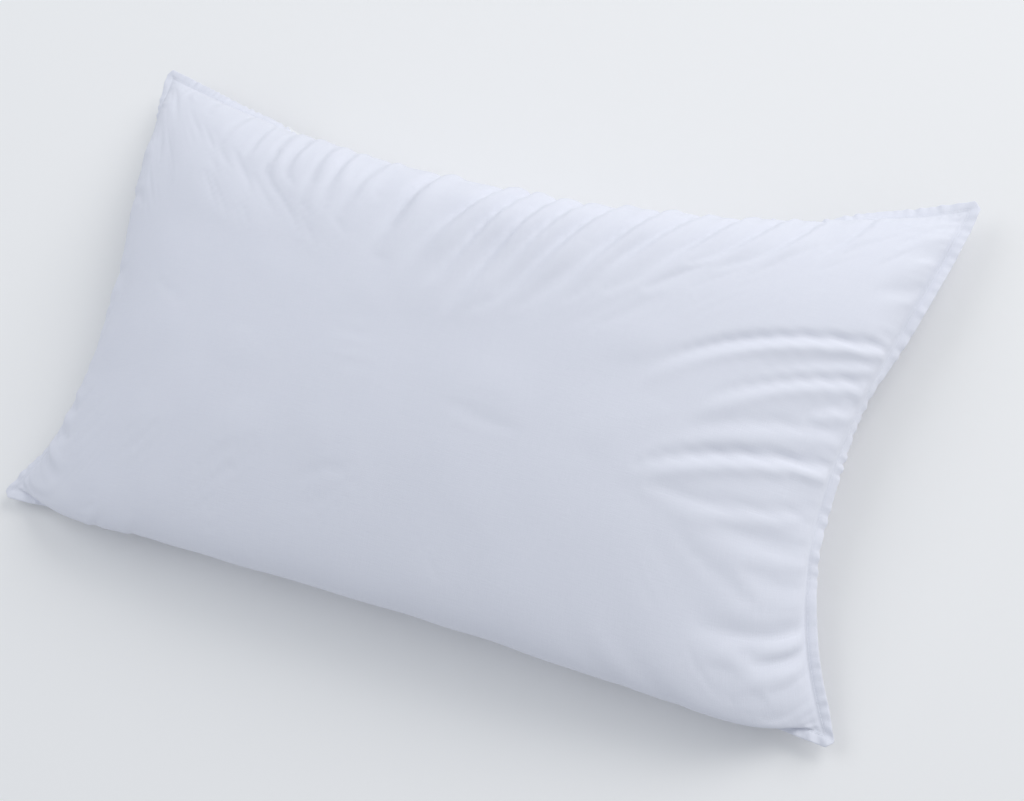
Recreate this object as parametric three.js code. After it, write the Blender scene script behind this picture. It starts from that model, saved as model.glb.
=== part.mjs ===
// A king-size bed pillow, lying on its back panel: two cotton panels joined round a flat topstitched
// edge, a fibre fill between them, the sewing threads as rings, and a blank care label in the far seam.
// Millimetres, +Z up. +X runs along the pillow, +Y towards its far long side, and the origin is midway
// between the corner tips, on the surface that the pillow lies on.
import * as THREE from "three";
import { ParametricGeometry } from "three/addons/geometries/ParametricGeometry.js";
import { mergeGeometries, mergeVertices } from "three/addons/utils/BufferGeometryUtils.js";

// Filled size, from corner tip to corner tip.
const LENGTH = 880;
const WIDTH = 494;

// The flat edge outside the topstitching.
const FLANGE = 10;
const CLOTH = 1.2; // thickness of one side of the edge, where the cloth is turned in
const SEAM_GAP = 1.4; // between the two sides of the edge, where the joining seam's thread lies
const THREAD = 0.8;
const CLEARANCE = 0.3;

// Half sizes of the stitched pocket, corner to corner.
const POCKET_X = LENGTH / 2 - FLANGE;
const POCKET_Y = WIDTH / 2 - FLANGE;

// How far the filling draws the middle of each side in from the line between its corners. lean shifts
// the deepest place along the side, towards +X or +Y where it is positive.
const DRAW_IN = {
  left: { depth: 56, lean: -0.7 },
  right: { depth: 44, lean: -0.7 },
  near: { depth: 10, lean: 0.6 },
  far: { depth: 92, lean: 0.2 },
};

// Height of the seam over the surface: it runs low under the full near side, and high on the far side.
const SEAM_HEIGHT = { nearCorner: 14, farCorner: 30, nearSide: 12, farSide: 56, ends: 30 };

// The filling stands this far over the seam, and would hang this far under it if nothing held it up.
const CROWN = 92;
const BELLY = 84;
const END_POWER = 2.4; // fullness of the crown along the pillow
const SIDE_POWER = 2.7; // and across it
const EDGE_ROUNDNESS = 0.62; // under 1, so that the cloth stands up steeply from the seam

// The front panel rolls out over the near seam.
const ROLL_OUT = { depth: 45, lean: 0.1 };
const ROLL_POWER = 14; // how close the roll keeps its depth towards the corners
const ROLL_PEAK = 0.15; // as a share of the pocket's half width, inwards from the near seam

// Surface steps. The outermost step on each side is the flat edge.
const COLUMNS = 36;
const ROWS = 22;
const RIM_STEPS = 2 * (COLUMNS + ROWS);
const EDGE_CROWDING = 0.6; // how much closer the steps come near the seam

// How far each line of stitching lies inside the outer rim.
const STITCH_INSET = { joining: 1.5, closing: 2.5, topstitch: FLANGE - 1.5 };

// The care label hangs from the far seam: its tails go in under the edge, and it bends down outside.
const LABEL = { x: -250, width: 22, tail: 0.6, reach: 1.2, bend: 1.6, drop: 32, thickness: 0.6 };
const CLOSING_SEAM = { from: -130, to: 70 }; // along the left end, where the pillow was filled

const FILL_INSET = 0.96; // the filling's outline, as a share of the pocket's
const FILL_CLEARANCE = 3;
const FILL_CLOSING = 12; // how late the filling's two faces close in on each other

const { lerp, clamp } = THREE.MathUtils;
const share = (power, x) => Math.max(0, 1 - Math.abs(x) ** power);

// u runs from -1 at the left end's stitching to 1 at the right end's, and v from -1 near to 1 far.
const across = (v) => (v + 1) / 2;

// Height of the surface on which the two panels meet.
function seamHeight(u, v) {
  const corner = lerp(SEAM_HEIGHT.nearCorner, SEAM_HEIGHT.farCorner, across(v));
  const side = lerp(SEAM_HEIGHT.nearSide, SEAM_HEIGHT.farSide, across(v)) * share(2, u);
  const end = SEAM_HEIGHT.ends * u * u * share(2, v);
  return corner + side + end;
}

const drawIn = (side, t) => side.depth * share(2, t) * (1 + side.lean * t);

// A point of that surface.
function seamPoint(u, v) {
  const end = drawIn(u < 0 ? DRAW_IN.left : DRAW_IN.right, v);
  const side = drawIn(v < 0 ? DRAW_IN.near : DRAW_IN.far, u);
  return new THREE.Vector3(
    u * (POCKET_X - end * Math.abs(u)),
    v * (POCKET_Y - side * Math.abs(v)),
    seamHeight(u, v),
  );
}

// Fullness of the filling: 1 in the middle, 0 on the seam.
const fullness = (u, v) => (share(END_POWER, u) * share(SIDE_POWER, v)) ** EDGE_ROUNDNESS;

// How far the front panel rolls out over the near seam.
function rollOut(u, v) {
  const inwards = (v + 1) / ROLL_PEAK;
  const depth = ROLL_OUT.depth * share(ROLL_POWER, u) * (1 + ROLL_OUT.lean * u);
  return depth * inwards * Math.exp(1 - inwards);
}

// Inner face of the front panel, and of the back panel, which the surface under the pillow flattens.
function frontPoint(u, v, clearance = 0) {
  const point = seamPoint(u, v);
  point.y -= rollOut(u, v);
  point.z += (CROWN - clearance) * fullness(u, v);
  return point;
}
function backPoint(u, v, clearance = 0) {
  const point = seamPoint(u, v);
  point.z = Math.max(CLOTH + clearance, point.z - (BELLY - clearance) * fullness(u, v));
  return point;
}

// Steps 0 and count lie on the outer rim, steps 1 and count - 1 on the stitching.
function stepToShare(step, count) {
  const inside = clamp((step - 1) / (count - 2), 0, 1);
  return lerp(2 * inside - 1, -Math.cos(Math.PI * inside), EDGE_CROWDING);
}
const rimSide = (step, count) => (step < 0.5 ? -1 : step > count - 0.5 ? 1 : 0);

// One face of a panel: its pocket, and its flat edge at a set distance over or under the seam.
function panelFace(pocketPoint, up, thickness) {
  const lift = up * (SEAM_GAP / 2 + thickness);
  return (s, t) => {
    const column = Math.round(s * COLUMNS);
    const row = Math.round(t * ROWS);
    const u = stepToShare(column, COLUMNS);
    const v = stepToShare(row, ROWS);
    const onEdge = column <= 1 || column >= COLUMNS - 1 || row <= 1 || row >= ROWS - 1;
    if (onEdge) {
      const point = seamPoint(u, v);
      point.x += FLANGE * rimSide(column, COLUMNS);
      point.y += FLANGE * rimSide(row, ROWS);
      point.z += lift;
      return point;
    }
    const point = pocketPoint(u, v);
    return thickness ? point.addScaledVector(outward(pocketPoint, u, v, up), thickness) : point;
  };
}

// Unit normal of a panel, away from the filling.
function outward(pocketPoint, u, v, up) {
  const step = 0.01;
  const along = pocketPoint(u + step, v).sub(pocketPoint(u - step, v));
  const over = pocketPoint(u, v + step).sub(pocketPoint(u, v - step));
  return along.cross(over).normalize().multiplyScalar(up);
}

// A closed body between an upper and a lower face, with a wall round their rims.
function bodyBetween(upper, lower, columns, rows) {
  const wall = (s, t) => {
    const [a, b] = aroundRim(s, columns, rows);
    return lower(a, b).lerp(upper(a, b), t);
  };
  const faces = [
    surface(upper, columns, rows),
    reversed(surface(lower, columns, rows)),
    surface(wall, 2 * (columns + rows), 1),
  ];
  return mergeVertices(mergeGeometries(faces), 1e-3);
}

// Goes once round the unit square, against the clock, a step of the grid at a time.
function aroundRim(s, columns, rows) {
  const step = Math.round(s * 2 * (columns + rows)) % (2 * (columns + rows));
  if (step <= columns) return [step / columns, 0];
  if (step <= columns + rows) return [1, (step - columns) / rows];
  if (step <= 2 * columns + rows) return [1 - (step - columns - rows) / columns, 1];
  return [0, 1 - (step - 2 * columns - rows) / rows];
}

function surface(pointAt, columns, rows) {
  const made = new ParametricGeometry((s, t, target) => target.copy(pointAt(s, t)), columns, rows);
  made.deleteAttribute("normal");
  made.deleteAttribute("uv");
  return made;
}

function reversed(geometry) {
  const index = Array.from(geometry.index.array).reverse();
  return geometry.setIndex(index);
}

// The middle line of a thread that follows the flat edge, inset inside the outer rim and lift over the
// surface on which the panels meet.
function threadPath(inset, lift) {
  return (step) => {
    const [s, t] = aroundRim(step / RIM_STEPS, COLUMNS, ROWS);
    const [column, row] = [Math.round(s * COLUMNS), Math.round(t * ROWS)];
    const middle = seamPoint(stepToShare(column, COLUMNS), stepToShare(row, ROWS));
    middle.x += (FLANGE - inset) * rimSide(column, COLUMNS);
    middle.y += (FLANGE - inset) * rimSide(row, ROWS);
    middle.z += lift;
    return middle;
  };
}
// A square-sided thread along that line: a closed ring, or the length between two steps.
function threadBody(inset, lift, from, to) {
  const half = THREAD / 2;
  const corners = [[-half, -half], [half, -half], [half, half], [-half, half]];
  const paths = corners.map(([out, up]) => threadPath(inset - out, lift + up));
  const steps = to - from;
  const side = (s, t) => paths[Math.round(t * 4) % 4](from + Math.round(s * steps));
  const parts = [surface(side, steps, 4)];
  if (steps < RIM_STEPS) {
    const end = (step) => (s, t) => paths[s < 0.5 ? (t < 0.5 ? 0 : 3) : t < 0.5 ? 1 : 2](step);
    parts.push(surface(end(from), 1, 1), reversed(surface(end(to), 1, 1)));
  }
  return mergeVertices(mergeGeometries(parts), 1e-3);
}

// The steps of the rim that lie on the left end between two places across the pillow.
function leftEndSteps(fromY, toY) {
  const path = threadPath(0, 0);
  const steps = [...Array(ROWS - 2).keys()].map((i) => 2 * COLUMNS + ROWS + 1 + i);
  const inside = steps.filter((step) => path(step).y >= fromY && path(step).y <= toY);
  return [Math.min(...inside), Math.max(...inside)];
}

// The filling follows both panels at a small distance and closes in on itself just inside the stitching.
function fillBody() {
  const columns = COLUMNS - 2;
  const rows = ROWS - 2;
  const closing = (u, v) => (share(FILL_CLOSING, u) * share(FILL_CLOSING, v)) ** 0.5;
  const face = (pocketPoint) => (s, t) => {
    const u = stepToShare(Math.round(s * columns) + 1, COLUMNS);
    const v = stepToShare(Math.round(t * rows) + 1, ROWS);
    const [inU, inV] = [u * FILL_INSET, v * FILL_INSET];
    return seamPoint(inU, inV).lerp(pocketPoint(inU, inV, FILL_CLEARANCE), closing(u, v));
  };
  const front = surface(face(frontPoint), columns, rows);
  const back = reversed(surface(face(backPoint), columns, rows));
  return mergeVertices(mergeGeometries([front, back]), 1e-3);
}

// A strip of woven tape folded in half, seen from its side: its tails lie in the seam and its fold
// hangs down.
function labelProfile() {
  const { tail, reach, bend, drop, thickness } = LABEL;
  const half = thickness / 2;
  const profile = new THREE.Shape();
  profile.moveTo(-tail, -half);
  profile.lineTo(reach, -half);
  profile.absarc(reach, -half - bend, bend, Math.PI / 2, 0, true);
  profile.lineTo(reach + bend, -drop);
  profile.absarc(reach + bend + half, -drop, half, Math.PI, 2 * Math.PI, false);
  profile.lineTo(reach + bend + thickness, -half - bend);
  profile.absarc(reach, -half - bend, bend + thickness, 0, Math.PI / 2, false);
  profile.lineTo(-tail, half);
  profile.closePath();
  return profile;
}

// The label, square to the straight stretch of the far rim that is nearest its place.
function labelBody() {
  const path = threadPath(0, 0);
  const farSteps = [...Array(COLUMNS - 2).keys()].map((i) => COLUMNS + ROWS + 1 + i);
  const middleOf = (step) => path(step).lerp(path(step + 1), 0.5);
  const offBy = (step) => Math.abs(middleOf(step).x - LABEL.x);
  const nearest = farSteps.reduce((best, step) => (offBy(step) < offBy(best) ? step : best));
  const along = path(nearest).sub(path(nearest + 1)).normalize();
  const outwards = new THREE.Vector3(0, 0, 1).cross(along).normalize();
  const upwards = along.clone().cross(outwards);
  const middle = middleOf(nearest).addScaledVector(along, -LABEL.width / 2);

  const options = { depth: LABEL.width, bevelEnabled: false, curveSegments: 6 };
  const strip = new THREE.ExtrudeGeometry(labelProfile(), options);
  strip.deleteAttribute("normal");
  strip.deleteAttribute("uv");
  strip.applyMatrix4(new THREE.Matrix4().makeBasis(outwards, upwards, along).setPosition(middle));
  return mergeVertices(strip, 1e-3);
}

const textile = (name, color, roughness) =>
  new THREE.MeshStandardMaterial({ name, color, roughness, metalness: 0 });
const cotton = textile("cotton", 0xe9edf6, 0.85);
const fibre = textile("fibre", 0xf6f6f4, 1);
const thread = textile("thread", 0xf4f6fb, 0.6);
const tape = textile("tape", 0xf8f8f8, 0.5);

const pillow = new THREE.Group();
function add(name, geometry, material) {
  const mesh = new THREE.Mesh(geometry, material);
  mesh.name = name;
  pillow.add(mesh);
  return mesh;
}

const frontOuter = panelFace(frontPoint, 1, CLOTH);
const frontInner = panelFace(frontPoint, 1, 0);
const backInner = panelFace(backPoint, -1, 0);
const backOuter = panelFace(backPoint, -1, CLOTH);
add("front_panel", bodyBetween(frontOuter, frontInner, COLUMNS, ROWS), cotton);
add("back_panel", bodyBetween(backInner, backOuter, COLUMNS, ROWS), cotton);
add("fibre_fill", fillBody(), fibre);

// The joining seam lies between the turned-in edges. The topstitching's needle thread shows on the
// front and its bobbin thread on the back, and so do those of the short closing seam.
const overCloth = SEAM_GAP / 2 + CLOTH + CLEARANCE + THREAD / 2;
const [closingFrom, closingTo] = leftEndSteps(CLOSING_SEAM.from, CLOSING_SEAM.to);
add("joining_seam_thread", threadBody(STITCH_INSET.joining, 0, 0, RIM_STEPS), thread);
add("topstitch_needle_thread", threadBody(STITCH_INSET.topstitch, overCloth, 0, RIM_STEPS), thread);
add("topstitch_bobbin_thread", threadBody(STITCH_INSET.topstitch, -overCloth, 0, RIM_STEPS), thread);
const closingThread = (lift) => threadBody(STITCH_INSET.closing, lift, closingFrom, closingTo);
add("closing_stitch_needle_thread", closingThread(overCloth), thread);
add("closing_stitch_bobbin_thread", closingThread(-overCloth), thread);
add("care_label", labelBody(), tape);

export default pillow;
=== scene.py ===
"""A bed pillow in Blender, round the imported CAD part: two panels of white cotton percale settled by a
cloth simulation over the filling's form, a flat topstitched edge, sewing threads, a blank care label
and the fibre filling inside. Metres, Z up; the pillow lies on z = 0, X runs along it, +Y is the far side.
"""

import bpy
import numpy as np
from mathutils import Matrix, Vector


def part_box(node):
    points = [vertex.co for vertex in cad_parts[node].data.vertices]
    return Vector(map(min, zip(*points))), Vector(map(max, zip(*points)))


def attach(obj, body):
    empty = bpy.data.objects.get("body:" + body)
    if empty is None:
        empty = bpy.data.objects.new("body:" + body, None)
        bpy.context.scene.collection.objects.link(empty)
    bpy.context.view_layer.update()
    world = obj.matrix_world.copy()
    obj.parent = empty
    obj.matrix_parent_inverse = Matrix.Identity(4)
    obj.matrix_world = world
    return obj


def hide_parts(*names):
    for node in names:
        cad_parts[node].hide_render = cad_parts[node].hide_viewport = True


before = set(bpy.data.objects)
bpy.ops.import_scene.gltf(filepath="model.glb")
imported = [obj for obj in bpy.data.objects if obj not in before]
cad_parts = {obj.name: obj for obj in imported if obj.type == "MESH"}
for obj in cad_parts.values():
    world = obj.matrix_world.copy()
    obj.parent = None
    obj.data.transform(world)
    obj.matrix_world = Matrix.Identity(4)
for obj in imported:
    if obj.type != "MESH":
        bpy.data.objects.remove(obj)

MM = 0.001
SEED = 7

# The corner tips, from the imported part.
PANEL_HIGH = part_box("front_panel")[1]
HALF_LENGTH = PANEL_HIGH.x
HALF_WIDTH = PANEL_HIGH.y
FLANGE = 10 * MM  # the flat edge outside the topstitching
POCKET_X = HALF_LENGTH - FLANGE
POCKET_Y = HALF_WIDTH - FLANGE

# The filled form, as in the CAD part. Each side is drawn in by (depth, lean); lean shifts the deepest
# place along the side, towards +X or +Y.
LEFT_DRAW, RIGHT_DRAW = (56 * MM, -0.7), (44 * MM, -0.7)
NEAR_DRAW, FAR_DRAW = (10 * MM, 0.6), (92 * MM, 0.2)
SEAM_CORNERS = (14 * MM, 30 * MM)  # height of the seam at the near and far corners
SEAM_SIDES = (12 * MM, 56 * MM)  # and how much higher in the middle of those sides
SEAM_ENDS = 30 * MM
CROWN, BELLY = 92 * MM, 84 * MM
END_POWER, SIDE_POWER, EDGE_ROUNDNESS = 2.4, 2.7, 0.62
ROLL_OUT, ROLL_LEAN, ROLL_POWER, ROLL_PEAK = 45 * MM, 0.1, 14, 0.15
# How far the front swells out over the seam, and the shares inwards at which it does so most.
OVERHANG = 5 * MM
OVERHANG_PEAKS = {"left": 0.04, "right": 0.035, "far": 0.07}
# How far from its tip a corner lies flat, and how flat.
EAR, EAR_FLATNESS = 24 * MM, 0.75
# The flat edge hangs down a little between the corners. On the right end it is tucked under at one
# place (a share of the half width, and how far along) and hangs at another.
TUCKED, HANGING = (0.15, 0.32), (-0.42, 0.25)
DROOP = {"left": 62, "right_tucked": 80, "right_hanging": 42, "far": 42, "near": 25}  # degrees
REST_GAP = 0.6 * MM  # the back panel's form stays at least this far over the floor

# Half size of one panel laid flat, from stitching to stitching.
CUT = np.array((447 * MM, 244 * MM))

# Cloth steps, and how much closer together they come at the seam.
CELLS_ALONG, CELLS_ACROSS, CROWDING = 168, 92, 0.5

# Folds, pressed into the form that the filling holds and cut into the cloth as slack. Each runs from a
# place at the seam to a place on the panel, in shares of its half length and half width, bows sideways,
# and has a half width and a depth.
# The far seam's fan, whose slanted folds follow one another along the pillow.
FAR_FOLDS = [
    # from         to             bow      width    depth
    ((-0.64, 1.0), (-0.69, 0.60), 4 * MM, 6 * MM, 0.8 * MM),
    ((-0.56, 1.0), (-0.57, 0.50), 4 * MM, 5 * MM, 1.0 * MM),
    ((-0.49, 1.0), (-0.49, 0.42), 4 * MM, 6 * MM, 1.2 * MM),
    ((-0.43, 1.0), (-0.43, 0.44), 4 * MM, 5 * MM, 1.5 * MM),
    ((-0.36, 1.0), (-0.35, 0.30), 5 * MM, 6 * MM, 1.4 * MM),
    ((-0.30, 1.0), (-0.29, 0.38), 4 * MM, 5 * MM, 1.8 * MM),
    ((-0.20, 1.0), (-0.25, 0.26), 5 * MM, 6 * MM, 1.6 * MM),
    ((-0.06, 1.0), (-0.14, 0.16), 7 * MM, 8 * MM, 3.4 * MM),
    ((0.10, 1.0), (-0.06, 0.12), 9 * MM, 8 * MM, 3.8 * MM),
    ((0.16, 1.0), (0.01, 0.02), 10 * MM, 6 * MM, 3.2 * MM),
    ((0.22, 1.0), (0.05, -0.12), 12 * MM, 7 * MM, 3.0 * MM),
    ((0.28, 1.0), (0.14, 0.10), 10 * MM, 6 * MM, 2.6 * MM),
    ((0.35, 1.0), (0.16, -0.02), 12 * MM, 7 * MM, 3.0 * MM),
    ((0.44, 1.0), (0.26, 0.06), 12 * MM, 7 * MM, 2.8 * MM),
    ((0.52, 1.0), (0.36, 0.24), 9 * MM, 6 * MM, 2.2 * MM),
    ((0.60, 1.0), (0.45, 0.30), 9 * MM, 6 * MM, 2.2 * MM),
    ((0.68, 1.0), (0.56, 0.44), 7 * MM, 5 * MM, 1.8 * MM),
    ((0.75, 1.0), (0.65, 0.50), 6 * MM, 5 * MM, 1.6 * MM),
    ((0.84, 1.0), (0.77, 0.60), 5 * MM, 5 * MM, 1.4 * MM),
]
# The right end's long folds, which run inwards from its drawn-in middle.
RIGHT_FOLDS = [
    ((1.0, 0.36), (0.50, -0.06), -18 * MM, 6 * MM, 2.7 * MM),
    ((1.0, 0.30), (0.64, -0.06), -8 * MM, 6 * MM, 0.7 * MM),
    ((1.0, 0.22), (0.62, -0.13), -9 * MM, 6 * MM, 1.9 * MM),
    ((1.0, 0.11), (0.88, 0.02), -2 * MM, 5 * MM, 1.0 * MM),
    ((1.0, 0.02), (0.52, -0.28), -9 * MM, 8 * MM, 1.2 * MM),
    ((1.0, -0.12), (0.50, -0.37), -10 * MM, 6 * MM, 2.8 * MM),
    ((0.96, -0.30), (0.56, -0.37), 5 * MM, 6 * MM, 1.1 * MM),
    ((1.0, -0.42), (0.74, -0.39), 3 * MM, 8 * MM, 1.0 * MM),
    ((1.0, -0.54), (0.84, -0.50), 2 * MM, 8 * MM, 0.5 * MM),
    ((1.0, -0.66), (0.74, -0.66), 3 * MM, 7 * MM, 2.2 * MM),
    ((1.0, -0.74), (0.84, -0.70), 3 * MM, 6 * MM, 1.9 * MM),
]
# The near side's slanting folds at the right, and the fan of the near left corner.
NEAR_FOLDS = [
    ((0.76, -0.92), (0.54, -0.66), 0, 12 * MM, 0.6 * MM),
    ((0.64, -0.92), (0.44, -0.68), 0, 12 * MM, 0.5 * MM),
    ((-1.0, -0.56), (-0.90, -0.60), 2 * MM, 5 * MM, 1.2 * MM),
    ((-1.0, -0.66), (-0.88, -0.69), 2 * MM, 5 * MM, 1.2 * MM),
    ((-1.0, -0.78), (-0.84, -0.80), 2 * MM, 5 * MM, 1.2 * MM),
    ((-0.98, -0.94), (-0.84, -0.86), 2 * MM, 5 * MM, 1.0 * MM),
    ((-0.72, -1.0), (-0.67, -0.82), 2 * MM, 6 * MM, 0.8 * MM),
    ((-0.60, -1.0), (-0.56, -0.82), 2 * MM, 6 * MM, 0.6 * MM),
]

# A fold's half width at the seam and how much it grows along the fold, as shares of its listed one.
FOLD_WIDTH, FOLD_WIDENING = 0.7, 0.6
# The ridge beside the crease: its height as a share of the depth, and its place and squared spread,
# both counted in half widths.
RIDGE, RIDGE_AT, RIDGE_SPREAD = 0.7, 1.7, 1.6
# The share of its length over which a fold sets in, how far on it already is at the seam, and the share
# over which it dies away.
FOLD_RISE, FOLD_AT_SEAM, FOLD_FADE = 0.12, 0.35, 0.55
# The small gathers: the standard deviations of slant and bow, and the least and greatest half width.
# Bow and half widths are in millimetres.
GATHER_SLANT, GATHER_BOW, GATHER_WIDTHS = 0.25, 3, (4, 8)

# Topstitching, closing and joining seams, as distances inside the outer edge.
TOPSTITCH_INSET, CLOSING_INSET, JOINING_INSET = 8.5 * MM, 2.5 * MM, 1.5 * MM
STITCH, THREAD_RADIUS, JOINING_RADIUS = 3 * MM, 0.22 * MM, 0.1 * MM
# How deep the thread dips at a stitch's ends, over which share of a stitch, and how high it lies.
DIP_DEPTH, DIP_WIDTH, THREAD_LIES = 0.62 * MM, 0.13, 0.7
POINTS_PER_STITCH = 8
CLOSING_FROM, CLOSING_TO = -120 * MM, 62 * MM
CORNER_RUN, CHAMFER = 20 * MM, 6 * MM

CAMERA_AT, CAMERA_AIM = Vector((0.651, -0.362, 1.357)), Vector((0.0613, -0.0189, 0))
CAMERA_UP, CAMERA_LENS = Vector((-0.2133, 0.9211, 0.3256)), 56.1


def share(power, x):
    return np.maximum(0, 1 - np.abs(x) ** power)


def smooth(x):
    x = np.clip(x, 0, 1)
    return x * x * (3 - 2 * x)


def draw_in(side, t):
    depth, lean = side
    return depth * share(2, t) * (1 + lean * t)


def seam_surface(u, v):
    """The surface on which the panels meet; u and v run from -1 to 1 over the pocket."""
    end = np.where(u < 0, draw_in(LEFT_DRAW, v), draw_in(RIGHT_DRAW, v))
    side = np.where(v < 0, draw_in(NEAR_DRAW, u), draw_in(FAR_DRAW, u))
    far = (v + 1) / 2
    corner = SEAM_CORNERS[0] + (SEAM_CORNERS[1] - SEAM_CORNERS[0]) * far
    middle = SEAM_SIDES[0] + (SEAM_SIDES[1] - SEAM_SIDES[0]) * far
    z = corner + middle * share(2, u) + SEAM_ENDS * u * u * share(2, v)
    return np.stack([u * (POCKET_X - end * np.abs(u)), v * (POCKET_Y - side * np.abs(v)), z], -1)


def fullness(u, v):
    """1 in the middle and 0 on the seam; the corners hold hardly any filling and lie flat."""
    corner = np.hypot(CUT[0] * (1 - np.abs(u)), CUT[1] * (1 - np.abs(v)))
    ear = 1 - EAR_FLATNESS * np.exp(-((corner / EAR) ** 2))
    return ear * (share(END_POWER, u) * share(SIDE_POWER, v)) ** EDGE_ROUNDNESS


def swell(inwards, peak):
    """0 on the seam, 1 at the peak's distance inwards, and back to 0 further in."""
    return inwards / peak * np.exp(1 - inwards / peak)


def overhang(u, v):
    """How far the front's cloth swells out over the seam, along X and along Y."""
    left = OVERHANG * share(4, v) * swell(1 + u, OVERHANG_PEAKS["left"])
    right = OVERHANG * share(6, v) * swell(1 - u, OVERHANG_PEAKS["right"])
    return right - left, OVERHANG * share(4, u) * swell(1 - v, OVERHANG_PEAKS["far"])


def front_form(u, v):
    """The front's smooth form, with the near side's roll and the cloth swelling out over the seam."""
    points = seam_surface(u, v)
    inwards = (v + 1) / ROLL_PEAK
    roll = ROLL_OUT * share(ROLL_POWER, u) * (1 + ROLL_LEAN * u)
    points[..., 1] -= roll * inwards * np.exp(1 - inwards)
    points[..., 2] += CROWN * fullness(u, v)
    over_x, over_y = overhang(u, v)
    points[..., 0] += over_x
    points[..., 1] += over_y
    return points


def back_form(u, v):
    """The back's smooth form, flat where it rests."""
    points = seam_surface(u, v)
    points[..., 2] = np.maximum(REST_GAP, points[..., 2] - BELLY * fullness(u, v))
    return points


def grid_normals(points, up):
    """Unit normals of a grid of points, on the side away from the filling."""
    normal = np.cross(np.gradient(points, axis=0), np.gradient(points, axis=1)) * up
    return normal / np.maximum(np.linalg.norm(normal, axis=-1, keepdims=True), 1e-12)


def fold_relief(u, v, folds):
    """Height of the folds over the smooth form: each is a crease with a ridge beside it."""
    p, q = u * CUT[0], v * CUT[1]
    relief = np.zeros_like(u)
    for start, end, bow, width, depth in folds:
        start, end = np.array(start) * CUT, np.array(end) * CUT
        run = end - start
        length = np.hypot(*run)
        along = ((p - start[0]) * run[0] + (q - start[1]) * run[1]) / length**2
        t = np.clip(along, 0, 1)
        aside = ((q - start[1]) * run[0] - (p - start[0]) * run[1]) / length - 4 * bow * t * (1 - t)
        half = width * (FOLD_WIDTH + FOLD_WIDENING * t)
        crease = -np.exp(-((aside / half) ** 2))
        crease += RIDGE * np.exp(-((aside / half - RIDGE_AT) ** 2) / RIDGE_SPREAD)
        setting_in, dying_away = smooth(along / FOLD_RISE + FOLD_AT_SEAM), smooth((1 - along) / FOLD_FADE)
        relief += depth * setting_in * dying_away * crease
    return relief


def gathers(rng, spacing, reach, depth, spare):
    """Small folds square to the seam, all the way round a panel, but not where spare says so."""
    folds = []
    for side in ("near", "far", "left", "right"):
        half = CUT[0] if side in ("near", "far") else CUT[1]
        at = -half + rng.uniform(*spacing)
        while at < half:
            place, length = at / half, rng.uniform(*reach)
            slant = rng.normal(0, GATHER_SLANT) * length / half
            if side in ("near", "far"):
                edge = 1.0 if side == "far" else -1.0
                inner = edge * (1 - length / CUT[1])
                start, end = (place, edge), (place + slant, inner)
            else:
                edge = 1.0 if side == "right" else -1.0
                inner = edge * (1 - length / CUT[0])
                start, end = (edge, place), (inner, place + slant)
            if not spare(side, place):
                width = rng.uniform(*GATHER_WIDTHS) * MM
                bow = rng.normal(0, GATHER_BOW) * MM
                folds.append((start, end, bow, width, rng.uniform(*depth)))
            at += rng.uniform(*spacing)
    return folds


def waves(rng, u, v, shortest, longest, count):
    """Smooth seeded unevenness of about unit size over the cloth."""
    total = np.zeros_like(u)
    for _ in range(count):
        turn, length = rng.uniform(0, np.pi), rng.uniform(shortest, longest)
        phase = rng.uniform(0, 2 * np.pi)
        reach = (u * CUT[0] * np.cos(turn) + v * CUT[1] * np.sin(turn)) / length
        total += np.sin(2 * np.pi * reach + phase)
    return total / np.sqrt(count / 2)


def grid_places():
    """The shares u and v of the cloth's grid, closer together at the seam."""
    def steps(count):
        even = np.linspace(0, 1, count + 1)
        return (1 - CROWDING) * (2 * even - 1) - CROWDING * np.cos(np.pi * even)
    return np.meshgrid(steps(CELLS_ALONG), steps(CELLS_ACROSS), indexing="ij")


def grid_quads(index, flip=False):
    quads = np.stack([index[:-1, :-1], index[1:, :-1], index[1:, 1:], index[:-1, 1:]], -1)
    quads = quads.reshape(-1, 4)
    return quads[:, ::-1] if flip else quads


def inside_outline(shape):
    """True for each place of a grid that is not on its outline."""
    inner = np.zeros(shape, bool)
    inner[1:-1, 1:-1] = True
    return inner


def paired_indices(inner):
    """Vertex numbers of two grids that share the points of their outline."""
    front = np.arange(inner.size).reshape(inner.shape)
    back = front.copy()
    back[inner] = inner.size + np.arange(inner.sum())
    return front, back


def new_mesh(name, points, faces):
    """A piece with those points and faces, linked to the scene."""
    mesh = bpy.data.meshes.new(name)
    mesh.from_pydata(np.asarray(points).tolist(), [], [list(map(int, f)) for f in faces])
    mesh.update()
    piece = bpy.data.objects.new(name, mesh)
    bpy.context.scene.collection.objects.link(piece)
    return piece


def dressed(piece, material):
    """The piece, smoothly shaded and in its material."""
    for polygon in piece.data.polygons:
        polygon.use_smooth = True
    piece.data.materials.append(material)
    return piece


# ---- The cloth simulation --------------------------------------------------------------------------

SETTLE_FRAMES, FORM_FRAMES = 26, 8
# How firmly the filling holds the cloth to its form, against 1 at the seam, and in the near roll.
FORM_HOLD, ROLL_HOLD = 0.05, 0.22
PRESSURE = 2.5
# The solver keeps the cloth about 1.4 mm over its floor, which lies this much lower to make up for it.
SETTLING_FLOOR = -1 * MM
# The near roll's firmer hold starts at this share of the half width and grows over this much more.
ROLL_EDGE, ROLL_BLEND = -0.35, 0.35
# The folds' depth in the held form and in the cut cloth, where the greater depth gives the slack.
FORM_RELIEF, CUT_RELIEF = 0.7, 1.5
FULL_RELIEF = 0.15  # the fullness from which folds have their whole depth
PANELS_APART = 0.9 * MM  # the front stays at least this far above the back
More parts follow.
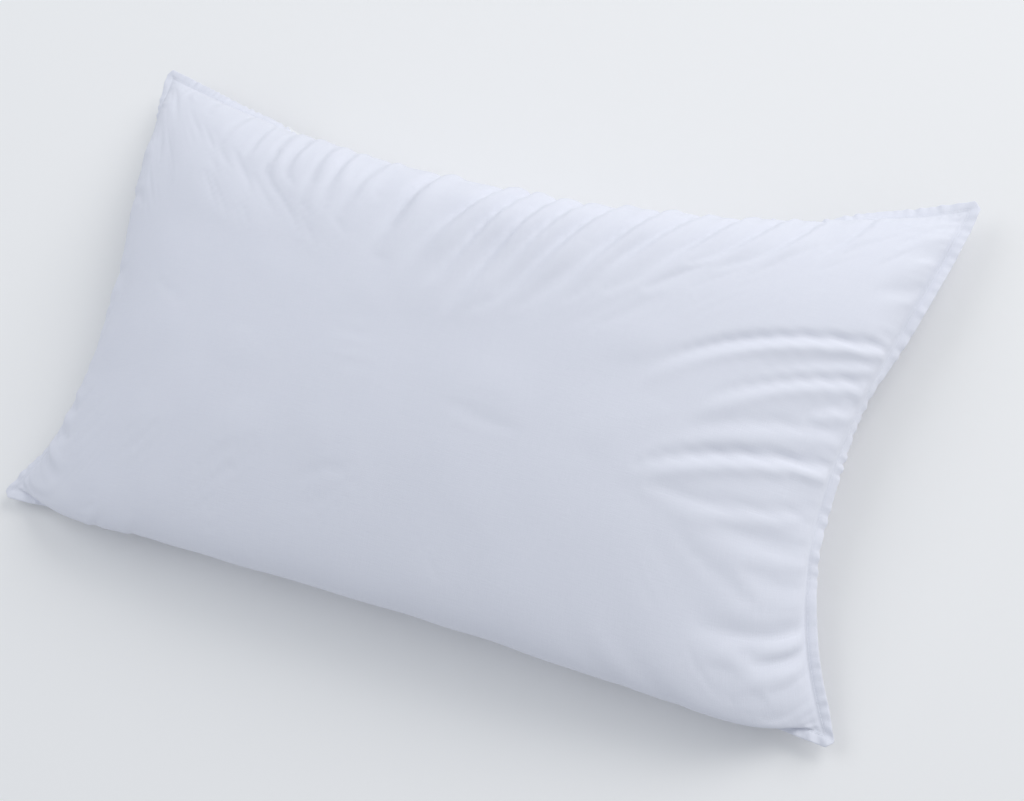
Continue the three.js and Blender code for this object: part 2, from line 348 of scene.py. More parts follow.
# Seeded unevenness: its size, then its shortest and longest wave and the number of waves.
SEAM_RISE = (0.8 * MM, 35 * MM, 90 * MM, 24)
SEAM_WANDER = (1.6 * MM, 60 * MM, 150 * MM, 24)
LUMPS = (0.35 * MM, 60 * MM, 200 * MM, 30)


def add_cloth_solver(cloth):
    """The cloth modifier, with cotton's stiffness and the filling's pressure."""
    modifier = cloth.modifiers.new("Cloth", "CLOTH")
    cotton = modifier.settings
    cotton.quality, cotton.mass, cotton.air_damping = 6, 0.05, 3
    cotton.bending_model = "ANGULAR"
    cotton.tension_stiffness = cotton.compression_stiffness = 40
    cotton.shear_stiffness, cotton.bending_stiffness = 10, 0.05
    cotton.vertex_group_mass, cotton.pin_stiffness = "hold", 1
    cotton.use_pressure, cotton.uniform_pressure_force = True, PRESSURE
    cotton.effector_weights.gravity = 0
    modifier.collision_settings.distance_min = MM / 2
    modifier.collision_settings.use_self_collision = False
    modifier.point_cache.frame_end = SETTLE_FRAMES


def add_settling_floor():
    """The floor that the cloth settles on."""
    corners = [(x, y, SETTLING_FLOOR) for x, y in ((-1, -1), (1, -1), (1, 1), (-1, 1))]
    floor = new_mesh("settling_floor", corners, [(0, 1, 2, 3)])
    floor.modifiers.new("Collision", "COLLISION")
    floor.collision.thickness_outer = REST_GAP
    return floor


def settle(cut_points, form_points, faces, firmness):
    """Settles the cloth, cut with the slack of cut_points, over the filling's form by Blender's cloth
    solver: the seam is held, the filling presses outwards, and the floor lies under it."""
    cloth = new_mesh("settling_cloth", cut_points, faces)
    cloth.shape_key_add(name="Basis")
    form = cloth.shape_key_add(name="form")
    form.data.foreach_set("co", form_points.ravel())
    for value, at in ((0, 1), (1, FORM_FRAMES)):
        form.value = value
        form.keyframe_insert("value", frame=at)
    hold = cloth.vertex_groups.new(name="hold")
    for vertex, weight in enumerate(firmness):
        hold.add([vertex], float(weight), "REPLACE")
    add_cloth_solver(cloth)
    floor = add_settling_floor()

    scene = bpy.context.scene
    for at in range(1, SETTLE_FRAMES + 1):
        scene.frame_set(at)
    settled = np.empty(len(cut_points) * 3)
    evaluated = cloth.evaluated_get(bpy.context.evaluated_depsgraph_get())
    evaluated.data.vertices.foreach_get("co", settled)
    for helper in (cloth, floor):
        bpy.data.objects.remove(helper)
    scene.frame_set(1)
    return settled.reshape(-1, 3)


def uneven_seam(rng, u, v):
    """How far the seam rises and wanders along Y; both die away inside the panels, and the wander
    also at the two ends."""
    at_seam = (1 - share(2, u) * share(2, v)) ** 8
    rise = waves(rng, u, v, *SEAM_RISE[1:]) * at_seam
    wander = waves(rng, u, v, *SEAM_WANDER[1:]) * at_seam
    wander *= share(8, u) * share(8, v * (np.abs(v) < 1))
    return SEAM_RISE[0] * rise, SEAM_WANDER[0] * wander


def panel_forms(rng, u, v, inner):
    """The front's and the back's held form, and how each is cut."""
    rise, wander = uneven_seam(rng, u, v)
    forms, cuts = [], []
    sides = ((front_form, 1, front_folds(rng)), (back_form, -1, back_folds(rng)))
    for form_of, up, folds in sides:
        form = form_of(u, v)
        form[..., 2] += rise
        form[..., 1] += wander
        normal = grid_normals(form, up)
        relief = fold_relief(u, v, folds)
        relief += LUMPS[0] * waves(rng, u, v, *LUMPS[1:])
        relief *= inner * smooth(fullness(u, v) / FULL_RELIEF)
        forms.append(form + normal * (FORM_RELIEF * relief)[..., None])
        cuts.append(form + normal * (CUT_RELIEF * relief)[..., None])
    for back in (forms[1], cuts[1]):
        back[..., 2] = np.maximum(back[..., 2], REST_GAP)
    return forms, cuts


def settled_panels(rng):
    """The two panels as grids of points, front and back, with the same points along the seam."""
    u, v = grid_places()
    inner = inside_outline(u.shape)
    forms, cuts = panel_forms(rng, u, v, inner)
    front_index, back_index = paired_indices(inner)
    both = [np.concatenate([f.reshape(-1, 3), b[inner]]) for f, b in (cuts, forms)]
    faces = np.concatenate([grid_quads(front_index), grid_quads(back_index, flip=True)])
    front_hold = FORM_HOLD + (ROLL_HOLD - FORM_HOLD) * smooth((ROLL_EDGE - v) / ROLL_BLEND)
    front_hold = np.where(inner, front_hold, 1.0).ravel()
    settled = settle(*both, faces, np.concatenate([front_hold, np.full(inner.sum(), FORM_HOLD)]))
    front, back = settled[front_index], settled[back_index]
    short = np.maximum(0, PANELS_APART - (front[..., 2] - back[..., 2])) * inner
    front[..., 2] += short / 2
    back[..., 2] -= short / 2
    return [front, back]


def front_folds(rng):
    """The folds read from the photo, and small gathers where it shows no others."""
    def spare(side, place):
        far_fan = side == "far" and -0.7 < place < 0.85
        right_folds = side == "right" and -0.8 < place < 0.4
        return far_fan or right_folds or side == "near"
    few = gathers(rng, spacing=(22 * MM, 60 * MM), reach=(20 * MM, 60 * MM),
                  depth=(0.3 * MM, 0.9 * MM), spare=spare)
    return FAR_FOLDS + RIGHT_FOLDS + NEAR_FOLDS + few


def back_folds(rng):
    """Gathers all the way round: the photo does not show the back."""
    return gathers(rng, spacing=(18 * MM, 55 * MM), reach=(30 * MM, 130 * MM),
                   depth=(1 * MM, 3.4 * MM), spare=lambda side, place: False)


# ---- Panels, filling, threads and label ------------------------------------------------------------

CLOTH = 1.2 * MM  # panel thickness
# The flat edge's upper side: shares of its width from the stitching outwards, and heights over the
# joining surface. It dips under the topstitching and rounds off at the turned-in edge.
EDGE_SHARES = (0.08, 0.15, 0.24, 0.4, 0.6, 0.8, 0.92, 0.98, 1.0)
EDGE_HEIGHTS = tuple(h * MM for h in (0.55, 0.38, 0.7, 0.95, 1.0, 0.98, 0.9, 0.65, 0.35))
RIM_LIFT = 0.35 * MM  # the edge's height at the stitching
SEAM_HALF_GAP = 0.12 * MM
# The rim's puckers: their size, how far they reach on to the pocket, and where they set in on it.
PUCKER, PUCKER_REACH, PUCKER_START = 0.8 * MM, 9 * MM, 6 * MM
# Their longest and shortest wave, and the number of waves.
PUCKER_LONGEST, PUCKER_SHORTEST, PUCKER_WAVES = 19 * MM, 8.5 * MM, 26


def doubled(grid):
    """The grid with a smoothly placed point between each two, along both of its directions."""
    for axis in (0, 1):
        grid = np.moveaxis(grid, axis, 0)
        before = np.concatenate([2 * grid[:1] - grid[1:2], grid[:-1]])[:-1]
        after = np.concatenate([grid[1:], 2 * grid[-1:] - grid[-2:-1]])[1:]
        middle = (9 * (grid[:-1] + grid[1:]) - before - after) / 16
        fine = np.empty((2 * len(grid) - 1,) + grid.shape[1:])
        fine[::2], fine[1::2] = grid, middle
        grid = np.moveaxis(fine, 0, axis)
    return grid


def ring_of(grid):
    """The grid's outline, against the clock from the near left corner."""
    sides = (grid[:-1, 0], grid[-1, :-1], grid[:0:-1, -1], grid[0, :0:-1])
    return np.concatenate(sides)


def droop(u, v):
    """How far the flat edge is turned down at a place on the seam, as an angle."""
    right = DROOP["right_tucked"] * np.exp(-(((v - TUCKED[0]) / TUCKED[1]) ** 2))
    right += DROOP["right_hanging"] * np.exp(-(((v - HANGING[0]) / HANGING[1]) ** 2))
    ends = np.where(u < 0, DROOP["left"] * share(4, v), right * share(8, v))
    sides = np.where(v < 0, DROOP["near"], DROOP["far"]) * share(4, u)
    return np.radians(np.where(np.abs(u) > np.abs(v), ends, sides))


def outer_edge(ring, along, across):
    """The outer rim of the flat edge, with clipped corners, and the direction square to the edge's
    upper face, a point and a direction for each point of the seam."""
    count = len(ring)
    tangent = np.roll(ring, -1, 0) - np.roll(ring, 1, 0)
    normal = np.stack([tangent[:, 1], -tangent[:, 0], 0 * tangent[:, 0]], -1)
    normal /= np.linalg.norm(normal, axis=1, keepdims=True)
    u, v = ring_of(doubled(np.stack(grid_places(), -1))).T
    turn = droop(u, v)[:, None]
    upright = np.array((0, 0, 1))
    outer = ring + FLANGE * (np.cos(turn) * normal - np.sin(turn) * upright)
    lift = np.sin(turn) * normal + np.cos(turn) * upright
    corners = (0, along, along + across, 2 * along + across)
    for corner, (right, far) in zip(corners, ((-1, -1), (1, -1), (1, 1), (-1, 1))):
        tip = ring[corner] + FLANGE * np.array((right, far, 0))
        on_end = tip - CHAMFER * np.array((0, far, 0))
        on_side = tip - CHAMFER * np.array((right, 0, 0))
        for step in (1, -1):
            clipped = on_side if (step == 1) == (right == far) else on_end
            run = 1
            while np.linalg.norm(ring[(corner + step * run) % count] - ring[corner]) < CORNER_RUN:
                run += 1
            last = outer[(corner + step * run) % count]
            stops = np.array([(on_end + on_side) / 2, clipped, last])
            lengths = np.concatenate([[0], np.cumsum(np.linalg.norm(np.diff(stops, axis=0), axis=1))])
            for k in range(run):
                at = lengths[-1] * k / run
                outer[(corner + step * k) % count] = [np.interp(at, lengths, c) for c in stops.T]
    return outer, lift


def rim_waves(rng, ring):
    """Seeded puckers along the seam, of about unit size and closed round the ring."""
    steps = np.linalg.norm(np.roll(ring, -1, 0) - ring, axis=1)
    place = np.cumsum(steps) / steps.sum()
    total = np.zeros(len(ring))
    fewest, most = int(steps.sum() / PUCKER_LONGEST), int(steps.sum() / PUCKER_SHORTEST)
    for turns in rng.integers(fewest, most, PUCKER_WAVES):
        total += np.sin(2 * np.pi * (turns * place + rng.uniform()))
    slow = np.sin(2 * np.pi * (5 * place + rng.uniform())) * np.sin(2 * np.pi * 11 * place)
    return total / np.sqrt(PUCKER_WAVES / 2) * (0.8 + 0.4 * slow)


def edge_rows(ring, outer, lift, up, puckers):
    """Rows of points from the stitching out over the flat edge, round its rim and back inside it."""
    shares = list(EDGE_SHARES) + [1.0, 0.9, 0.0]
    heights = list(EDGE_HEIGHTS) + [SEAM_HALF_GAP] * 3
    return [ring + (outer - ring) * part + lift * (up * height + PUCKER * part * puckers[:, None])
            for part, height in zip(shares, heights)]


def panel(name, coarse, up, puckers, material):
    """One panel as a closed body: outer face, flat edge, turned-in rim, and the inner face."""
    fine = doubled(coarse)
    along, across = fine.shape[0] - 1, fine.shape[1] - 1
    u, v = doubled(np.stack(grid_places(), -1)).transpose(2, 0, 1)
    off_seam = np.minimum(CUT[0] * (1 - np.abs(u)), CUT[1] * (1 - np.abs(v)))
    ring = ring_of(fine)
    outer, lift = outer_edge(ring, along, across)

    fine = fine + spread_pucker(puckers, u, v, off_seam)[..., None] * np.array((0, 0, 1))
    rim = index_of_ring(fine.shape[:2])
    fine[tuple(rim.T)] += RIM_LIFT * up * lift
    points = [fine.reshape(-1, 3)]
    index = np.arange(fine.shape[0] * fine.shape[1]).reshape(fine.shape[:2])
    faces = [grid_quads(index, flip=up < 0)]
    size = index.size

    rings = [ring_of(index)]
    for row in edge_rows(ring, outer, lift, up, puckers):
        points.append(row)
        rings.append(size + np.arange(len(row)))
        size += len(row)
    for one, next_one in zip(rings, rings[1:]):
        faces.append(ring_quads(one, next_one, flip=up > 0))

    inner_grid = (coarse - CLOTH * grid_normals(coarse, up))[1:-1, 1:-1]
    inner_index = np.full(coarse.shape[:2], -1)
    inner_index[1:-1, 1:-1] = size + np.arange(inner_grid[..., 0].size).reshape(inner_grid.shape[:2])
    inner_index[tuple(index_of_ring(coarse.shape[:2]).T)] = rings[-1][::2]
    points.append(inner_grid.reshape(-1, 3))
    coarse_faces = grid_quads(inner_index, flip=up > 0)
    piece = joined(name, points, faces, coarse_faces, rings[-1])
    add_cloth_map(piece, u, v)
    return dressed(piece, material)


def index_of_ring(shape):
    """The row and column of each place on a grid's outline."""
    index = np.stack(np.meshgrid(np.arange(shape[0]), np.arange(shape[1]), indexing="ij"), -1)
    return ring_of(index)


def ring_quads(one, other, flip=False):
    quads = np.stack([one, np.roll(one, -1), np.roll(other, -1), other], -1)
    return quads[:, ::-1] if flip else quads


def spread_pucker(puckers, u, v, off_seam):
    """The rim's puckers carried a little way on to the pocket, square to each side."""
    def fade(distance):
        return np.exp(-distance / PUCKER_REACH)
    spread = np.zeros_like(u)
    columns, rows = u.shape[0] - 1, u.shape[1] - 1
    near, far = puckers[:columns + 1], puckers[columns + rows:2 * columns + rows + 1][::-1]
    right = puckers[columns:columns + rows + 1]
    left = np.append(puckers[2 * columns + rows:], puckers[0])[::-1]
    spread += near[:, None] * fade(CUT[1] * (1 + v)) + far[:, None] * fade(CUT[1] * (1 - v))
    spread += right[None, :] * fade(CUT[0] * (1 - u)) + left[None, :] * fade(CUT[0] * (1 + u))
    return PUCKER * spread * smooth(off_seam / PUCKER_START)


def joined(name, points, faces, coarse_faces, fine_ring):
    """One mesh of both; each coarse face along the inner rim takes in the finer rim's middle point."""
    starts, middles, ends = fine_ring[::2], fine_ring[1::2], np.roll(fine_ring, -2)[::2]
    between = {int(a): (int(m), int(b)) for a, m, b in zip(starts, middles, ends)}
    coarse = []
    for face in coarse_faces.tolist():
        whole = []
        for a, b in zip(face, face[1:] + face[:1]):
            whole.append(a)
            for start, stop in ((a, b), (b, a)):
                if between.get(start, (0, -1))[1] == stop:
                    whole.append(between[start][0])
        coarse.append(whole)
    every = [f for group in faces for f in group.tolist()] + coarse
    return new_mesh(name, np.concatenate(points), every)


def add_cloth_map(piece, u, v):
    """A UV map in metres on the cut cloth, so that the weave follows the threads of the outer face;
    the rest of the panel is mapped from above."""
    flat = np.stack([u * CUT[0], v * CUT[1]], -1).reshape(-1, 2)
    places = np.empty((len(piece.data.vertices), 3))
    piece.data.vertices.foreach_get("co", places.ravel())
    plan = np.array(places[:, :2])
    plan[:len(flat)] = flat
    loops = np.empty(len(piece.data.loops), int)
    piece.data.loops.foreach_get("vertex_index", loops)
    layer = piece.data.uv_layers.new(name="cut_cloth")
    layer.data.foreach_set("uv", plan[loops].ravel())


# The filling's distance inside the cloth, the least height left over it, and where it counts as closed.
FILL_INSET, FILL_HEADROOM, FILL_THINNEST = 5 * MM, 2 * MM, 1 * MM
# How often its faces are smoothed, and the fullness from which they are.
FILL_SMOOTHINGS, FILL_SMOOTH_FROM = 6, 0.2


def greatest_near(field):
    """Each place's greatest value within two steps, which is as far as the filling's cells reach."""
    wide = np.pad(field, 2, mode="edge")
    rows, columns = field.shape
    return np.max([wide[i:i + rows, j:j + columns] for i in range(5) for j in range(5)], axis=0)


def filling(panels, material):
    """The fibre filling: both panels' faces, smoothed and drawn in to clear the deepest crease near
    each place, closed near the seam on the middle between the two."""
    u, v = grid_places()
    keep = slice(4, -4, 2)  # the fibre stops short of the seam's narrow wedge
    faces = []
    for points, up in zip(panels, (1, -1)):
        soft = points.copy()
        for _ in range(FILL_SMOOTHINGS):
            soft[1:-1, 1:-1] = (soft[:-2, 1:-1] + soft[2:, 1:-1] + soft[1:-1, :-2] + soft[1:-1, 2:]) / 4
        soft = np.where(fullness(u, v)[..., None] > FILL_SMOOTH_FROM, soft, points)
        normal = grid_normals(soft, up)
        proud = greatest_near(np.sum((soft - points) * normal, -1))
        soft = soft - (FILL_INSET + np.maximum(0, proud))[..., None] * normal
        inside = points[..., 2] - up * FILL_HEADROOM
        bound = np.minimum if up > 0 else np.maximum
        soft[..., 2] = bound(soft[..., 2], inside)
        faces.append(soft[keep, keep])
    middle = (faces[0] + faces[1]) / 2
    closed = (faces[0][..., 2] - faces[1][..., 2] < FILL_THINNEST)[..., None]
    faces = [np.where(closed, middle, face) for face in faces]
    inner = inside_outline(middle.shape[:2])
    front, back = (np.where(inner[..., None], f, middle) for f in faces)
    front_index, back_index = paired_indices(inner)
    points = np.concatenate([front.reshape(-1, 3), back[inner]])
    quads = np.concatenate([grid_quads(front_index), grid_quads(back_index, flip=True)])
    return dressed(new_mesh("fibre_filling", points, quads), material)


def tube(name, path, radius, closed, material, sides=6):
    """A round thread along a path."""
    if closed:
        tangent = np.roll(path, -1, 0) - np.roll(path, 1, 0)
    else:
        tangent = np.gradient(path, axis=0)
    tangent /= np.linalg.norm(tangent, axis=1, keepdims=True)
    side = np.cross(tangent, (0, 0, 1))
    side /= np.linalg.norm(side, axis=1, keepdims=True)
    top = np.cross(side, tangent)
    turn = 2 * np.pi * np.arange(sides) / sides
    points = path[:, None] + radius * (np.cos(turn)[:, None] * side[:, None]
                                       + np.sin(turn)[:, None] * top[:, None])
    index = np.arange(len(path) * sides).reshape(-1, sides)
    rows = np.roll(index, -1, 0) if closed else index[1:]
    one = index if closed else index[:-1]
    quads = np.stack([one, np.roll(one, -1, 1), np.roll(rows, -1, 1), rows], -1).reshape(-1, 4)
    faces = quads.tolist()
    if not closed:
        faces += [index[0, ::-1].tolist(), index[-1].tolist()]
    return dressed(new_mesh(name, points.reshape(-1, 3), faces), material)


def edge_line(ring, outer, lift, puckers, inset, up):
    """The line on the flat edge's face at that distance inside the outer rim, a point per ring point."""
    part = 1 - inset / FLANGE
    height = np.interp(part, (0.0,) + EDGE_SHARES, (RIM_LIFT,) + EDGE_HEIGHTS)
    return ring + (outer - ring) * part + lift * (PUCKER * part * puckers[:, None] + up * height)


def stitched(line, lift, up, closed):
    """A thread's path along that line: it lies on the cloth and dips into it at each stitch's ends."""
    if closed:
        line, lift = (np.concatenate([a, a[:1]]) for a in (line, lift))
    run = np.concatenate([[0], np.cumsum(np.linalg.norm(np.diff(line, axis=0), axis=1))])
    stitches = round(run[-1] / STITCH)
    at = np.arange(stitches * POINTS_PER_STITCH + (0 if closed else 1)) / POINTS_PER_STITCH
    path, raised = (
        np.stack([np.interp(at * run[-1] / stitches, run, c) for c in a.T], -1) for a in (line, lift))
    dip = np.exp(-(((at - np.round(at)) / DIP_WIDTH) ** 2))
    return path + up * raised * (THREAD_RADIUS * THREAD_LIES - DIP_DEPTH * dip)[:, None]


# The label: its width as a share of the CAD label's box along X, half its thickness, how far it is
# caught in the seam, how far its sides curl out, and the first points of its bend over the seam, as
# (out, up).
LABEL_SHARE, LABEL_HALF, LABEL_CAUGHT, LABEL_CURL = 0.94, 0.28 * MM, 0.8 * MM, 1.6 * MM
LABEL_BEND = ((0, 0), (1.2, 0.0), (2.0, -0.4), (2.5, -1.2))  # mm
# Below the bend it falls from this (out, up), by the height of the CAD label's box less this much,
# while it swings outwards along part of a sine and leans back in.
LABEL_FALL_FROM, LABEL_FALL_LESS = (2.6 * MM, -1.2 * MM), 1.6 * MM
LABEL_SWING, LABEL_SWING_TURN, LABEL_LEAN = 2.2 * MM, 2.2, 1 * MM
LABEL_COLUMNS, LABEL_ROWS = 13, 14
FAR_RIM_FROM = 0.12  # rim points further along Y than this are on the far side


def label_profile(drop):
    """The label's outline seen from its side: the bend over the seam, then a slightly wavy fall."""
    out, up = LABEL_FALL_FROM
    fall = [np.array((out + LABEL_SWING * np.sin(LABEL_SWING_TURN * t) - LABEL_LEAN * t,
                      up - (drop - LABEL_FALL_LESS) * t))
            for t in np.linspace(0, 1, LABEL_ROWS + 1)[1:]]
    middle = np.array([np.array(b) * MM for b in LABEL_BEND] + fall)
    tangent = np.gradient(middle, axis=0)
    tangent /= np.linalg.norm(tangent, axis=1, keepdims=True)
    side = np.stack([-tangent[:, 1], tangent[:, 0]], -1) * LABEL_HALF
    return np.concatenate([middle + side, (middle - side)[::-1]])


def care_label(outer, material):
    """A blank woven tape, folded in half and caught in the far seam, whose fold hangs down."""
    low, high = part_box("care_label")
    width, drop = high.x - low.x, high.z - low.z
    far = np.where(outer[:, 1] > FAR_RIM_FROM)[0]
    nearest = far[np.argmin(np.abs(outer[far, 0] - (low.x + high.x) / 2))]
    along = outer[nearest - 3] - outer[nearest + 3]
    along /= np.linalg.norm(along)
    outwards = np.cross((0, 0, 1), along)
    outwards /= np.linalg.norm(outwards)
    start = outer[nearest] - LABEL_CAUGHT * outwards
    profile = label_profile(drop)
    deep = np.clip(-profile[:, 1] / drop, 0, 1)
    points = []
    for k in range(LABEL_COLUMNS):
        place = (k / (LABEL_COLUMNS - 1) - 0.5) * width * LABEL_SHARE
        out = profile[:, 0] + LABEL_CURL * (2 * k / (LABEL_COLUMNS - 1) - 1) ** 2 * deep
        line = start + along * place + outwards * out[:, None]
        points.append(line + np.array((0, 0, 1)) * profile[:, 1:])
    index = np.arange(LABEL_COLUMNS * len(profile)).reshape(LABEL_COLUMNS, -1)
    quads = np.stack([index[:-1], np.roll(index[:-1], -1, 1), np.roll(index[1:], -1, 1), index[1:]], -1)
    faces = quads.reshape(-1, 4).tolist() + [index[0].tolist(), index[-1, ::-1].tolist()]
    piece = new_mesh("care_label_tape", np.array(points).reshape(-1, 3), faces)
    piece.data.materials.append(material)
    return piece


# ---- Materials -------------------------------------------------------------------------------------


class Nodes:
    """A material's node tree, with short calls for the nodes that the looks here use."""

    def __init__(self, name):
        self.material = bpy.data.materials.new(name)
        self.material.use_nodes = True
        self.tree = self.material.node_tree
        self.shader = self.tree.nodes["Principled BSDF"]

    def add(self, kind, **inputs):
        node = self.tree.nodes.new(kind)
        for key, value in inputs.items():
            self.put(node.inputs[int(key[1:]) if key[0] == "_" else key], value)
        return node

    def put(self, socket, value):
        if isinstance(value, bpy.types.NodeSocket):
            self.tree.links.new(value, socket)
        else:
            socket.default_value = value

    def math(self, operation, a, b=0.0):
        node = self.add("ShaderNodeMath", _0=a, _1=b)
        node.operation = operation
        return node.outputs[0]

    def noise(self, place, scale, detail=2.0):
        stretched = self.add("ShaderNodeMapping", Vector=place, Scale=scale)
        node = self.add("ShaderNodeTexNoise", Vector=stretched.outputs[0], Scale=1.0, Detail=detail)
        return node.outputs["Fac"]

    def mix(self, share_, one, other):
        node = self.add("ShaderNodeMix")
        node.data_type = "RGBA"
        for key, value in ((0, share_), (6, one), (7, other)):
            self.put(node.inputs[key], value)
        return node.outputs[2]


WEAVE_PITCH = 0.42 * MM
COTTON_LIGHT, COTTON_DARK = (0.805, 0.82, 0.895, 1), (0.74, 0.757, 0.84, 1)


def percale(name):
    """Plain-woven cotton: crossing threads with slubs, slight unevenness of colour, a soft sheen."""
    nodes = Nodes(name)
    place = nodes.add("ShaderNodeTexCoord").outputs["UV"]
    split = nodes.add("ShaderNodeSeparateXYZ", Vector=place)
    warp = nodes.math("SINE", nodes.math("MULTIPLY", split.outputs[0], 2 * np.pi / WEAVE_PITCH))
    weft = nodes.math("SINE", nodes.math("MULTIPLY", split.outputs[1], 2 * np.pi / WEAVE_PITCH))
    weave = nodes.math("MULTIPLY", warp, weft)
    slub_warp = nodes.noise(place, (900, 55, 1))
    slub_weft = nodes.noise(place, (55, 900, 1))
    slub = nodes.math("ADD", slub_warp, slub_weft)
    cloudy = nodes.noise(place, (14, 14, 14), detail=3.0)
    shade = nodes.math("ADD", nodes.math("MULTIPLY", slub, 0.38), nodes.math("MULTIPLY", cloudy, 0.28))
    nodes.put(nodes.shader.inputs["Base Color"], nodes.mix(shade, COTTON_DARK, COTTON_LIGHT))
    height = nodes.math("ADD", nodes.math("MULTIPLY", weave, 0.22), nodes.math("MULTIPLY", slub, 0.9))
    bump = nodes.add("ShaderNodeBump", Strength=0.3, Distance=0.35 * MM, Height=height)
    nodes.put(nodes.shader.inputs["Normal"], bump.outputs[0])
    nodes.put(nodes.shader.inputs["Roughness"], 0.82)
    nodes.put(nodes.shader.inputs["Specular IOR Level"], 0.25)
    nodes.put(nodes.shader.inputs["Sheen Weight"], 0.2)
    nodes.put(nodes.shader.inputs["Sheen Roughness"], 0.45)
    return nodes.material


def twisted_thread(name):
    """Spun sewing thread: fine diagonal lines round it and a slight lustre."""
    nodes = Nodes(name)
    place = nodes.add("ShaderNodeTexCoord").outputs["Object"]
    fine = nodes.noise(place, (2500, 2500, 2500))
    nodes.put(nodes.shader.inputs["Base Color"],
              nodes.mix(fine, (0.78, 0.80, 0.86, 1), (0.88, 0.90, 0.95, 1)))
    bump = nodes.add("ShaderNodeBump", Strength=0.3, Distance=0.1 * MM, Height=fine)
    nodes.put(nodes.shader.inputs["Normal"], bump.outputs[0])
    nodes.put(nodes.shader.inputs["Roughness"], 0.6)
    return nodes.material


def woven_tape(name):
    """Close-woven ribbon with a fine rib across it."""
    nodes = Nodes(name)
    place = nodes.add("ShaderNodeTexCoord").outputs["Object"]
    split = nodes.add("ShaderNodeSeparateXYZ", Vector=place)
    rib = nodes.math("SINE", nodes.math("MULTIPLY", split.outputs[2], 2 * np.pi / (0.5 * MM)))
    bump = nodes.add("ShaderNodeBump", Strength=0.35, Distance=0.12 * MM, Height=rib)
    nodes.put(nodes.shader.inputs["Normal"], bump.outputs[0])
    nodes.put(nodes.shader.inputs["Base Color"], (0.86, 0.87, 0.88, 1))
    nodes.put(nodes.shader.inputs["Roughness"], 0.5)
    return nodes.material


def loose_fibre(name):
    """Teased fibre: clumps with fine strands over them."""
    nodes = Nodes(name)
    place = nodes.add("ShaderNodeTexCoord").outputs["Object"]
    clumps = nodes.noise(place, (45, 45, 45), detail=4.0)
    strands = nodes.noise(place, (900, 140, 500), detail=3.0)
    nodes.put(nodes.shader.inputs["Base Color"],
              nodes.mix(clumps, (0.80, 0.80, 0.79, 1), (0.92, 0.92, 0.91, 1)))
    bump = nodes.add("ShaderNodeBump", Strength=0.8, Distance=1.5 * MM,
                     Height=nodes.math("ADD", clumps, nodes.math("MULTIPLY", strands, 0.5)))
    nodes.put(nodes.shader.inputs["Normal"], bump.outputs[0])
    nodes.put(nodes.shader.inputs["Roughness"], 1.0)
    nodes.put(nodes.shader.inputs["Sheen Weight"], 0.4)
    return nodes.material


# ---- Studio ----------------------------------------------------------------------------------------


# Each light's place, size, watts and colour, and the light from all round.
KEY_LIGHT = (2.35, 2.75, 2.35), (2.6, 2.6), 89, (1, 0.99, 0.97)
FILL_LIGHT = (-1.7, 0.4, 2.4), (2.2, 2.2), 16, (0.95, 0.97, 1)
AIR_COLOUR, AIR_STRENGTH = (0.9, 0.94, 1, 1), 0.56
PAPER_COLOUR, PAPER_HALF_SIZE = (0.9, 0.9, 0.9, 1), 6
LIGHTS_AIM = Vector((0, 0, 0.05))


def area_light(name, at, size, power, colour):
    """A rectangular light that points at the pillow."""
    light = bpy.data.lights.new(name, "AREA")
    light.shape, light.size, light.size_y = "RECTANGLE", size[0], size[1]
    light.energy, light.color = power, colour
    lamp = bpy.data.objects.new(name, light)
    bpy.context.scene.collection.objects.link(lamp)
    lamp.location = at
    lamp.rotation_euler = (Vector(at) - LIGHTS_AIM).to_track_quat("Z", "Y").to_euler()


def studio():
    """A pale floor under the pillow, a large light from the far right and a weak one from the left."""
    half = PAPER_HALF_SIZE
    corners = [(-half, -half, 0), (half, -half, 0), (half, half, 0), (-half, half, 0)]
    floor = new_mesh("studio_floor", corners, [(0, 1, 2, 3)])
    paper = Nodes("studio_paper")
    paper.put(paper.shader.inputs["Base Color"], PAPER_COLOUR)
    paper.put(paper.shader.inputs["Roughness"], 0.95)
    floor.data.materials.append(paper.material)
    area_light("key_light", *KEY_LIGHT)
    area_light("fill_light", *FILL_LIGHT)
    world = bpy.data.worlds.new("studio_air")
    world.use_nodes = True
    sky = world.node_tree.nodes["Background"]
    sky.inputs[0].default_value = AIR_COLOUR
    sky.inputs[1].default_value = AIR_STRENGTH
    scene = bpy.context.scene
    scene.world = world
    scene.view_settings.view_transform = "Standard"


def camera():
    """The photo's angle, from the four corner tips."""
    back = (CAMERA_AT - CAMERA_AIM).normalized()
    right = CAMERA_UP.cross(back).normalized()
    turned = Matrix((right, back.cross(right), back)).transposed().to_4x4()
    view = bpy.data.objects.new("camera", bpy.data.cameras.new("camera"))
    view.data.lens, view.data.sensor_width = CAMERA_LENS, 36
    view.matrix_world = Matrix.Translation(CAMERA_AT) @ turned
    bpy.context.scene.collection.objects.link(view)
    bpy.context.scene.camera = view


# ---- The pillow ------------------------------------------------------------------------------------


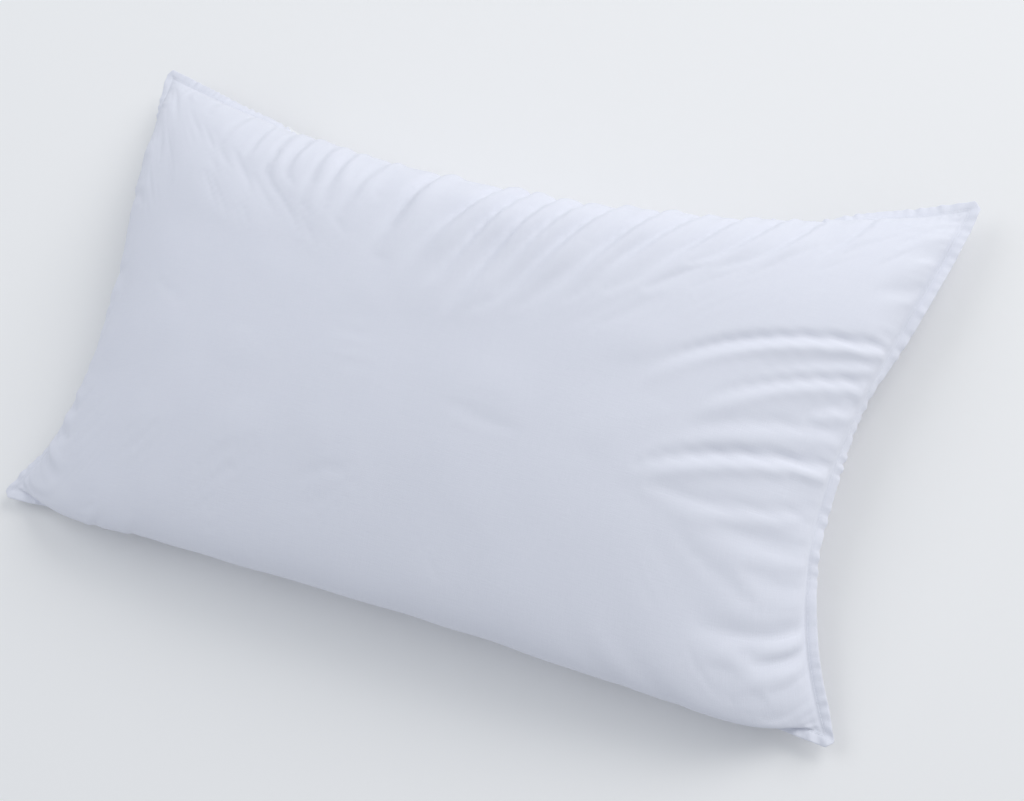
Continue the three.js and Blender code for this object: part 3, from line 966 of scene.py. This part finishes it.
def sewing(ring, outer, lift, puckers, thread):
    """Each thread with its node: the joining seam's, and the needle's and the bobbin's of the
    topstitching and of the closing stitch on the left end."""
    part = 1 - JOINING_INSET / FLANGE
    joining = ring + (outer - ring) * part + lift * (PUCKER * part * puckers[:, None])
    threads = [(tube("joining_thread", joining, JOINING_RADIUS, True, thread), "joining_seam_thread")]
    left_end = np.arange(len(ring)) >= 4 * CELLS_ALONG + 2 * CELLS_ACROSS
    for up, word in ((1, "needle"), (-1, "bobbin")):
        line = edge_line(ring, outer, lift, puckers, TOPSTITCH_INSET, up)
        path = stitched(line, lift, up, closed=True)
        topstitch = tube(f"topstitch_{word}", path, THREAD_RADIUS, True, thread)
        threads.append((topstitch, f"topstitch_{word}_thread"))
        line = edge_line(ring, outer, lift, puckers, CLOSING_INSET, up)
        opening = left_end & (line[:, 0] < 0) & (line[:, 1] > CLOSING_FROM) & (line[:, 1] < CLOSING_TO)
        path = stitched(line[opening], lift[opening], up, closed=False)
        closing = tube(f"closing_{word}", path, THREAD_RADIUS, False, thread)
        threads.append((closing, f"closing_stitch_{word}_thread"))
    return threads


def build():
    """Settles, finishes, fills and sews the panels, parents each piece to the root body and hides the CAD
    part that it stands for.
    """
    rng = np.random.default_rng(SEED)
    front, back = settled_panels(rng)
    cotton, thread = percale("cotton_percale"), twisted_thread("spun_thread")
    ring = ring_of(doubled(front))
    outer, lift = outer_edge(ring, 2 * CELLS_ALONG, 2 * CELLS_ACROSS)
    puckers = rim_waves(rng, ring)

    front_cloth = panel("front_panel_cloth", front, 1, puckers, cotton)
    back_cloth = panel("back_panel_cloth", back, -1, puckers, cotton)
    fill = filling((front, back), loose_fibre("loose_fibre"))
    label = care_label(outer, woven_tape("woven_tape"))
    pieces = [
        (front_cloth, "front_panel", "shell_cotton"),
        (back_cloth, "back_panel", "shell_cotton"),
        (fill, "fibre_fill", "fill_fibre"),
        (label, "care_label", "label_tape"),
    ]
    for piece, node in sewing(ring, outer, lift, puckers, thread):
        pieces.append((piece, node, "sewing_thread"))
    for piece, node, slot in pieces:
        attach(piece, "root")
        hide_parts(node)


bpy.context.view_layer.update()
build()
studio()
camera()
